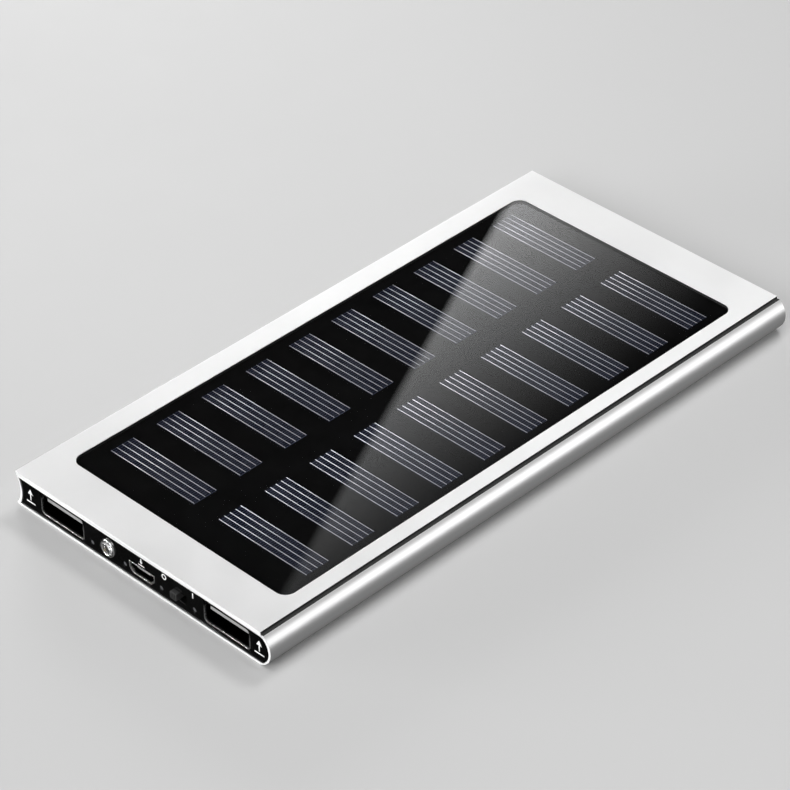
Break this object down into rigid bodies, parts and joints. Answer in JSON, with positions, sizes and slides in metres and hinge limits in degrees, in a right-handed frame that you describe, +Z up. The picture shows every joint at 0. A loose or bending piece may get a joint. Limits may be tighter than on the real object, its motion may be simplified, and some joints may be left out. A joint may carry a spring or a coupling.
{
  "type": "solar phone charger",
  "caption": "Thin aluminium pocket power bank with a solar panel in its top face, output and input sockets, torch lamp and slide switch at one end.",
  "frame": {"origin": "middle of the flat underside of the sleeve", "axes": "+Z up out of the solar panel, -Y out of the end with the sockets, +X towards the rounded spine"},
  "size_m": [0.075, 0.1558, 0.0084],
  "materials": {
    "sleeve": "satin, fine blasted",
    "cap": "gloss",
    "cover_glass": "polished",
    "cell": "dark blue silicon with printed silver lines",
    "backing": "black laminate",
    "gasket": "adhesive foam",
    "tray": "moulded",
    "pouch": "laminated foil",
    "tab": "nickel strip",
    "tape": "double-sided tape",
    "foam": "soft foam",
    "board": "solder mask",
    "port_shell": "tin-plated",
    "tongue": "moulded",
    "contact": "gold-plated",
    "lens": "clear",
    "ring": "polished",
    "pipe": "frosted",
    "lamp": "white",
    "switch_case": "pressed",
    "slider": "moulded",
    "chip": "moulded",
    "ferrite": "matt",
    "capacitor": "matt",
    "diode": "moulded",
    "lead_red": "insulation",
    "lead_black": "insulation",
    "screw": "zinc"
  },
  "bodies": {
    "case": {"aluminium_sleeve": "sleeve", "port_end_cap": "cap", "tail_end_cap": "cap", "solar_glass": "cover_glass", "solar_backing_board": "backing", "panel_gasket": "gasket", "solar_cells": "cell", "battery_tray": "tray", "battery_pouch_left": "pouch", "battery_pouch_right": "pouch", "battery_tabs": "tab", "battery_tapes": "tape", "foam_pads": "foam", "circuit_board": "board", "output_shell_left": "port_shell", "output_tongue_left": "tongue", "output_contacts_left": "contact", "output_shell_right": "port_shell", "output_tongue_right": "tongue", "output_contacts_right": "contact", "input_shell": "port_shell", "input_tongue": "tongue", "input_contacts": "contact", "torch_lamp": "lens", "torch_ring": "ring", "level_pipes": "pipe", "level_lamps": "lamp", "switch_case": "switch_case", "charging_chip": "chip", "boost_chip": "chip", "boost_coil": "ferrite", "capacitors": "capacitor", "diodes": "diode", "solar_lead_positive": "lead_red", "solar_lead_negative": "lead_black", "board_screws": "screw"},
    "slider": {"switch_slider": "slider"}
  },
  "joints": [
    {"name": "switch_slide", "type": "slide", "parent": "case", "child": "slider", "axis": [1, 0, 0], "range_m": [0, 0.002]}
  ]
}
